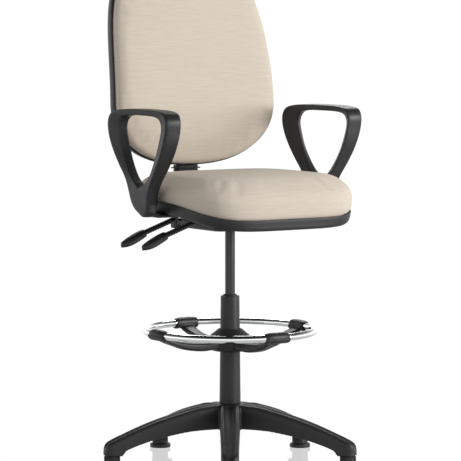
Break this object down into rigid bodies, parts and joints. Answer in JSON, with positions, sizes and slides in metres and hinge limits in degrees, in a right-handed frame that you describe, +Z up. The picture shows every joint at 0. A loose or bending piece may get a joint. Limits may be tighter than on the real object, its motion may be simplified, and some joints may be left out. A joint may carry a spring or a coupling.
{
  "type": "adjustable swivel chair",
  "caption": "Tall swivel work chair: beige upholstered seat and high back, open loop arms, gas column with chrome foot ring, and a star base on fixed glides.",
  "frame": {"origin": "on the floor, in the middle of the chair's footprint, with the column's axis at x = 0.0056 m, y = -0.0276 m", "axes": "+Z up, parallel to the column; -Y is the side the seat faces; +X is the sitter's left"},
  "size_m": [0.7147, 0.6932, 1.401],
  "materials": {
    "black_nylon": "fine moulded grain",
    "black_gloss": "smooth moulded",
    "black_steel": "satin black",
    "bright_steel": "zinc plated",
    "chrome": "bright chrome plate",
    "plywood": "bare birch plywood",
    "rubber": "matt",
    "fabric": "fine woven upholstery cloth"
  },
  "bodies": {
    "base": {"base_star": "black_nylon", "glide_foot_1": "black_nylon", "glide_foot_2": "black_nylon", "glide_foot_3": "black_nylon", "glide_foot_4": "black_nylon", "glide_foot_5": "black_nylon", "glide_stem_1": "bright_steel", "glide_stem_2": "bright_steel", "glide_stem_3": "bright_steel", "glide_stem_4": "bright_steel", "glide_stem_5": "bright_steel", "gas_outer_tube": "black_steel", "column_sleeve": "black_nylon", "guide_bush": "rubber", "thrust_bearing": "bright_steel", "retaining_clip": "bright_steel"},
    "foot_ring": {"foot_ring_tube": "chrome", "ring_spider": "black_nylon", "ring_clamp_1": "black_nylon", "ring_clamp_2": "black_nylon", "ring_clamp_3": "black_nylon", "ring_clamp_4": "black_nylon"},
    "ring_collar": {"ring_collar": "black_nylon"},
    "gas_rod": {"gas_rod": "bright_steel"},
    "seat_frame": {"gas_cylinder": "black_steel", "mechanism_housing": "black_nylon", "seat_plate": "black_steel", "seat_bolt_1": "bright_steel", "seat_bolt_2": "bright_steel", "seat_bolt_3": "bright_steel", "seat_bolt_4": "bright_steel", "seat_shell": "black_nylon", "seat_board": "plywood", "seat_cushion": "fabric", "arm_left": "black_nylon", "arm_right": "black_nylon", "arm_bolt_1": "bright_steel", "arm_bolt_2": "bright_steel", "arm_bolt_3": "bright_steel", "arm_bolt_4": "bright_steel", "lever_pin_1": "bright_steel", "lever_pin_2": "bright_steel", "tilt_pin": "bright_steel"},
    "height_lever": {"height_lever_rod": "bright_steel", "height_lever_grip": "black_gloss"},
    "release_button": {"release_button": "bright_steel"},
    "back_lever": {"back_lever_rod": "bright_steel", "back_lever_grip": "black_gloss"},
    "back_tilt": {"back_bar": "black_steel", "bar_bellows": "rubber"},
    "back_rest": {"back_bracket": "black_steel", "back_board": "plywood", "back_shell": "black_nylon", "back_cushion": "fabric", "bracket_screw_1": "bright_steel", "bracket_screw_2": "bright_steel", "bracket_screw_3": "bright_steel", "bracket_screw_4": "bright_steel"}
  },
  "joints": [
    {"name": "seat_swivel", "type": "hinge", "parent": "base", "child": "gas_rod", "pos_m": [0.0056, -0.0276, 0.062], "axis": [0, 0, 1], "continuous": true},
    {"name": "seat_height", "type": "slide", "parent": "gas_rod", "child": "seat_frame", "axis": [0, 0, 1], "range_m": [-0.17, 0.04]},
    {"name": "ring_height", "type": "slide", "parent": "base", "child": "foot_ring", "axis": [0, 0, 1], "range_m": [-0.09, 0.05]},
    {"name": "ring_lock", "type": "hinge", "parent": "foot_ring", "child": "ring_collar", "pos_m": [0.0056, -0.0276, 0.35], "axis": [0, 0, 1], "range_deg": [0, 60]},
    {"name": "height_lever_lift", "type": "hinge", "parent": "seat_frame", "child": "height_lever", "pos_m": [-0.0544, -0.0276, 0.689], "axis": [0, 1, 0], "range_deg": [0, 5.5], "stiffness_Nm_per_rad": 2, "springref_deg": -3.44},
    {"name": "release_press", "type": "slide", "parent": "seat_frame", "child": "release_button", "axis": [0, 0, 1], "range_m": [-0.005, 0], "stiffness_N_per_m": 300, "springref_m": 0.002},
    {"name": "back_lever_lift", "type": "hinge", "parent": "seat_frame", "child": "back_lever", "pos_m": [-0.0544, 0.0844, 0.689], "axis": [0, 1, 0], "range_deg": [0, 12]},
    {"name": "back_tilt", "type": "hinge", "parent": "seat_frame", "child": "back_tilt", "pos_m": [0.0056, 0.1034, 0.668], "axis": [-1, 0, 0], "range_deg": [-4, 15]},
    {"name": "back_height", "type": "slide", "parent": "back_tilt", "child": "back_rest", "axis": [0, 0, 1], "range_m": [0, 0.07]}
  ],
  "couplings": [
    {"joint": "release_press", "follows": "height_lever_lift", "m_per_rad": -0.052}
  ]
}
